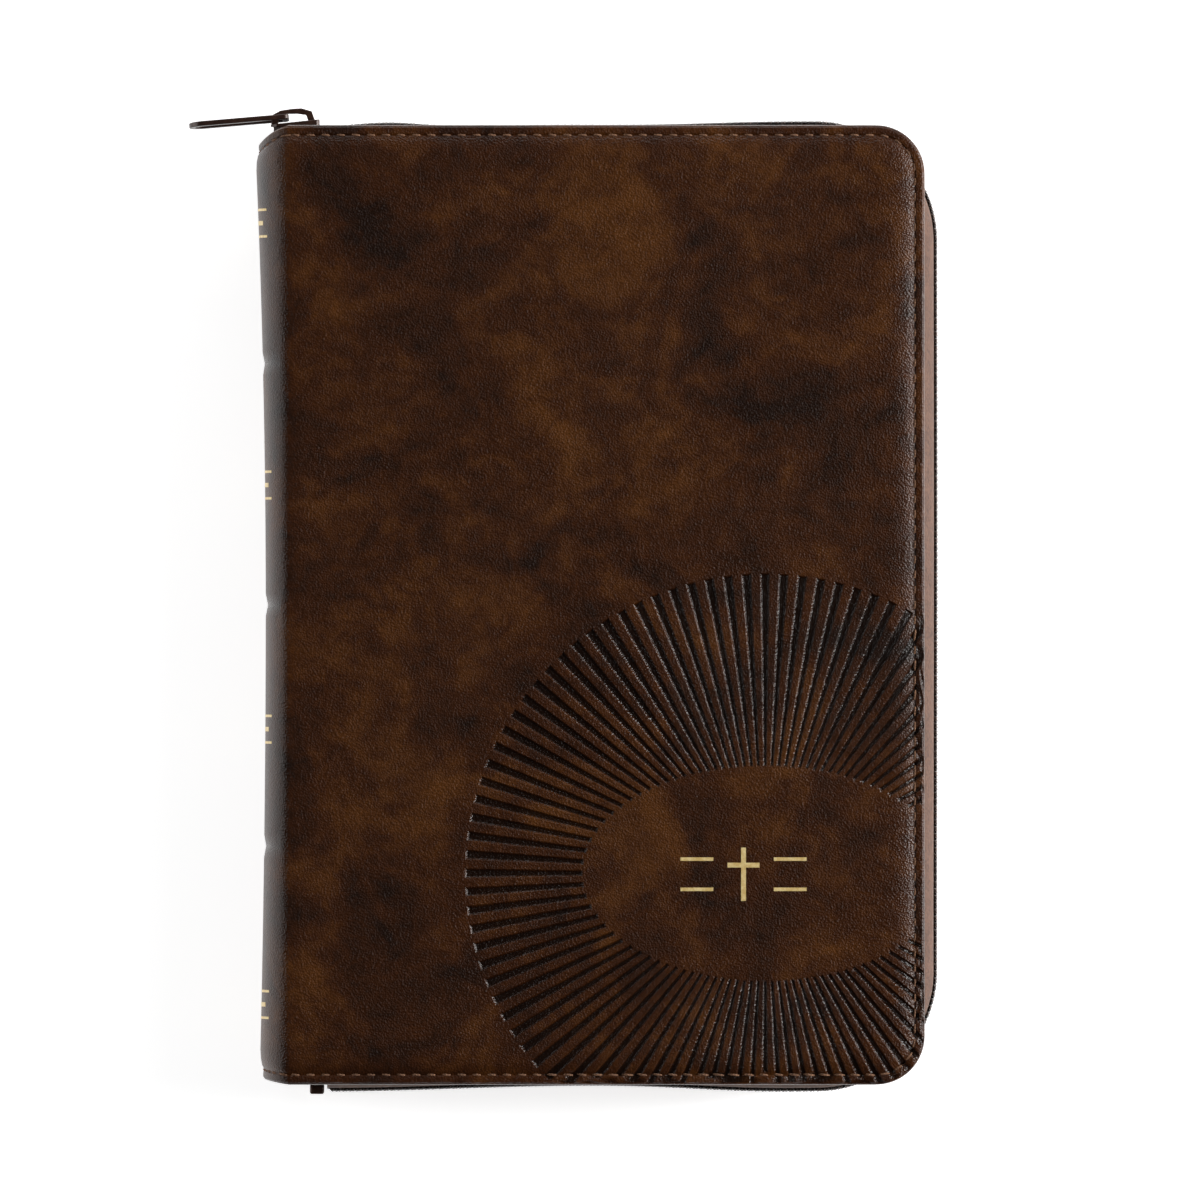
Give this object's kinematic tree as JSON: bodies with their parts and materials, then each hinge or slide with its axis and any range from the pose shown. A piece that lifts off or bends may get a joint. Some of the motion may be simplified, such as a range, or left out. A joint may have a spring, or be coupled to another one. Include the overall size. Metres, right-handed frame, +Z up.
{
  "type": "bible",
  "caption": "Closed bible in a padded leather-look zip cover: a front cover that opens, leaves that turn, a slider that runs along the zip and a ring pull that swings.",
  "frame": {"origin": "centre of the flat back panel, on the plane that the closed book rests on", "axes": "+Z up out of the front cover, +Y towards the head of the book, +X towards the fore-edge"},
  "size_m": [0.1691, 0.2221, 0.036],
  "materials": {
    "cover_leather": "semi-matt leather-look, marbled brown",
    "padding": "matt foam",
    "board": "grey-brown binder's board",
    "lining": "matt dark brown",
    "paper": "matt cream",
    "page_edge": "satin gilt page edges",
    "tape": "woven, mauve brown",
    "coil": "satin nylon",
    "thread": "twisted polyester, tan",
    "slider_metal": "satin dark brown enamel",
    "band": "woven band"
  },
  "bodies": {
    "book": {"back_cover_leather": "cover_leather", "back_cover_foam": "padding", "back_cover_board": "board", "back_cover_lining": "lining", "rear_pastedown": "paper", "spine_leather": "cover_leather", "spine_stiffener": "board", "spine_mull": "band", "page_block": "page_edge", "head_band": "band", "tail_band": "band", "back_zip_tape": "tape", "back_zip_coil": "coil", "zip_end_stop": "slider_metal", "back_edge_stitching": "thread", "spine_stitching": "thread", "front_joint_leather": "cover_leather"},
    "front_cover": {"front_cover_leather": "cover_leather", "front_cover_foam": "padding", "front_cover_board": "board", "front_cover_lining": "lining", "front_pastedown": "paper", "front_zip_tape": "tape", "front_zip_coil": "coil", "front_edge_stitching": "thread"},
    "flyleaf": {"front_flyleaf": "paper"},
    "leaves": {"first_leaves": "page_edge"},
    "zip_slider": {"slider_body": "slider_metal", "slider_bridge": "slider_metal"},
    "pull": {"zip_pull": "slider_metal"}
  },
  "joints": [
    {"name": "cover_hinge", "type": "hinge", "parent": "book", "child": "front_cover", "pos_m": [-0.067, 0, 0.0354], "axis": [0, -1, 0], "range_deg": [0, 175], "deforming": ["front_joint_leather", "front_zip_tape", "front_zip_coil"]},
    {"name": "flyleaf_turn", "type": "hinge", "parent": "book", "child": "flyleaf", "pos_m": [-0.0655, 0, 0.0356], "axis": [0, -1, 0], "range_deg": [0, 168], "deforming": ["front_flyleaf"]},
    {"name": "leaves_turn", "type": "hinge", "parent": "book", "child": "leaves", "pos_m": [-0.0645, 0, 0.0358], "axis": [0, -1, 0], "range_deg": [0, 157.5], "deforming": ["first_leaves"]},
    {"name": "slider_travel", "type": "slide", "parent": "book", "child": "zip_slider", "axis": [0.9999, 0.0148, 0], "range_m": [0, 0.108], "deforming": ["back_zip_coil", "front_zip_coil"]},
    {"name": "pull_swing", "type": "hinge", "parent": "zip_slider", "child": "pull", "pos_m": [-0.06895, 0.10982, 0.018], "axis": [0, 0, -1], "range_deg": [0, 165]}
  ],
  "couplings": [
    {"joint": "flyleaf_turn", "follows": "cover_hinge", "ratio": 0.96},
    {"joint": "leaves_turn", "follows": "cover_hinge", "ratio": 0.9}
  ]
}
